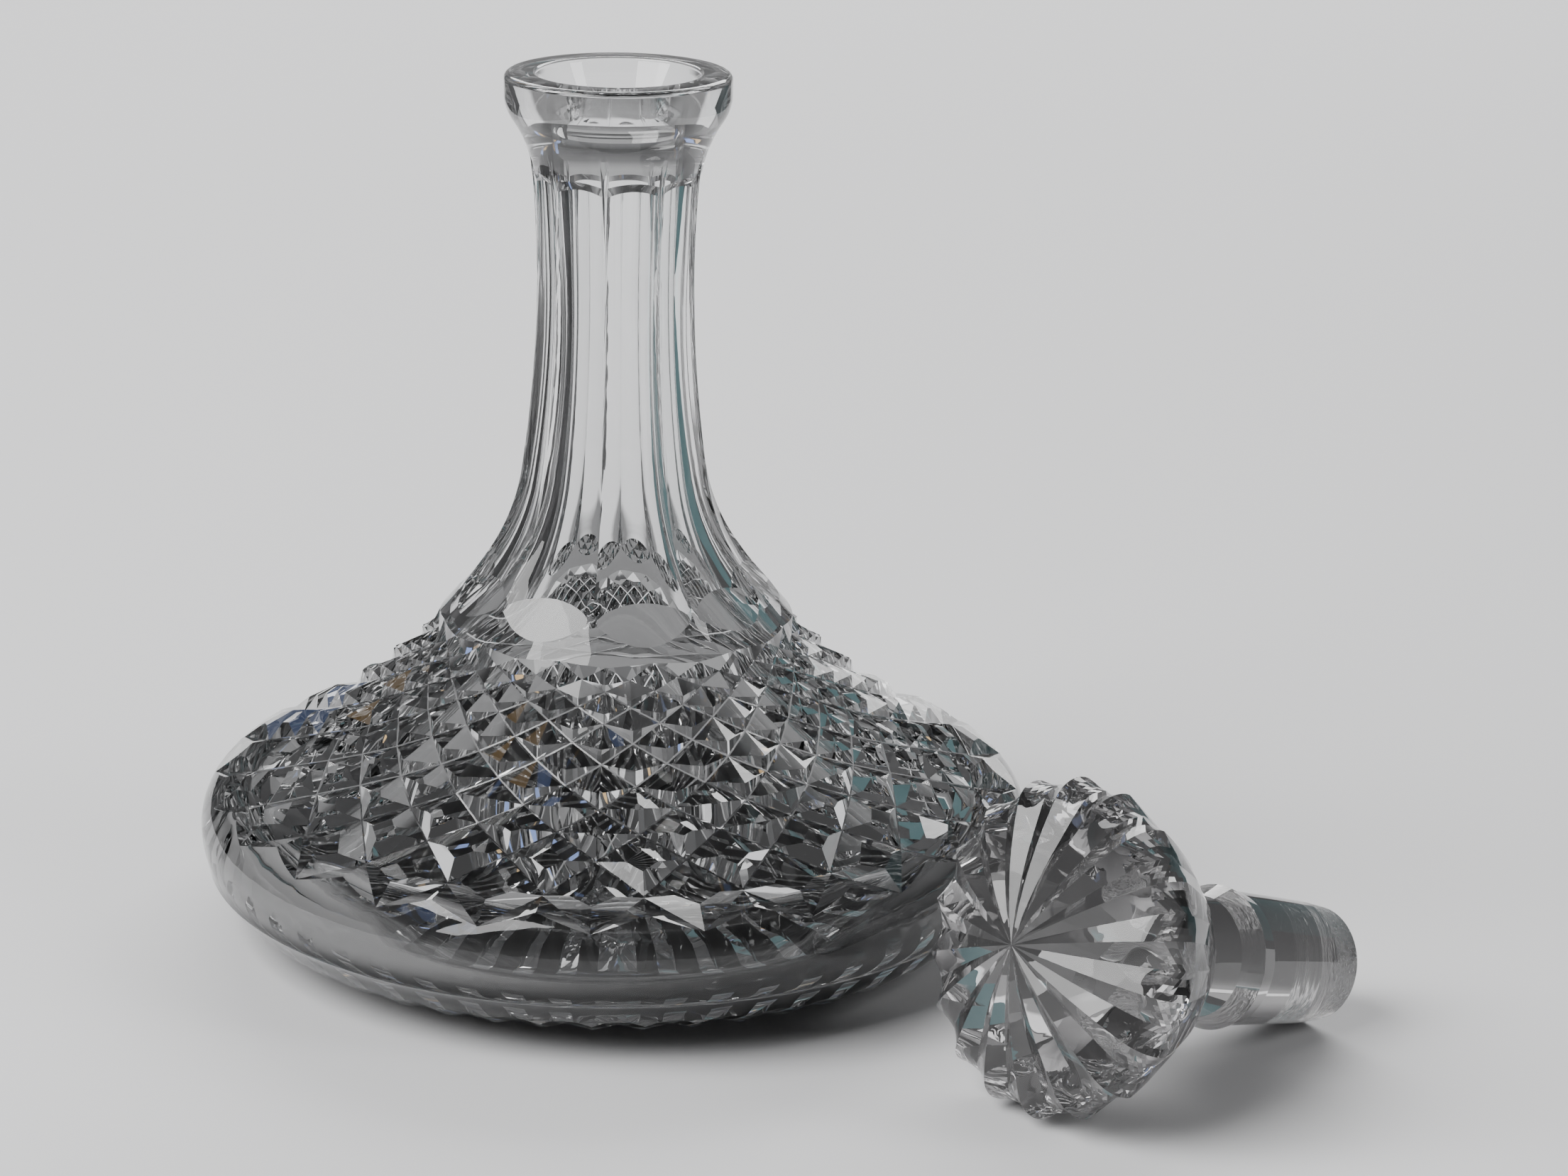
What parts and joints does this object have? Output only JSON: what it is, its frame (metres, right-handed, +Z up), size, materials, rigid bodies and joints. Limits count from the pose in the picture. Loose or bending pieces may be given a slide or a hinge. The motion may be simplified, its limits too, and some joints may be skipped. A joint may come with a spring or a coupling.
{
  "type": "crystal decanter",
  "caption": "Low, wide cut-glass decanter with a fluted neck and cupped lip, and its lift-out ground stopper lying beside it.",
  "frame": {"origin": "Centre of the decanter's foot, on the surface it stands on.", "axes": "+Z up the decanter's neck; -Y is the front, from which the stopper lies to the right with its plug pointing back; +X to the right."},
  "size_m": [0.2554, 0.2344, 0.195],
  "materials": {
    "crystal": "clear lead crystal, cut and fire polished",
    "stopper_crystal": "clear lead crystal, cut and polished, with a plug ground satin at its end"
  },
  "bodies": {
    "decanter": {"decanter": "crystal"},
    "stopper": {"stopper": "stopper_crystal"}
  },
  "joints": [
    {"name": "stopper_lift", "type": "slide", "parent": "decanter", "child": "stopper", "axis": [0, 0, 1], "range_m": [0, 0.25]}
  ]
}
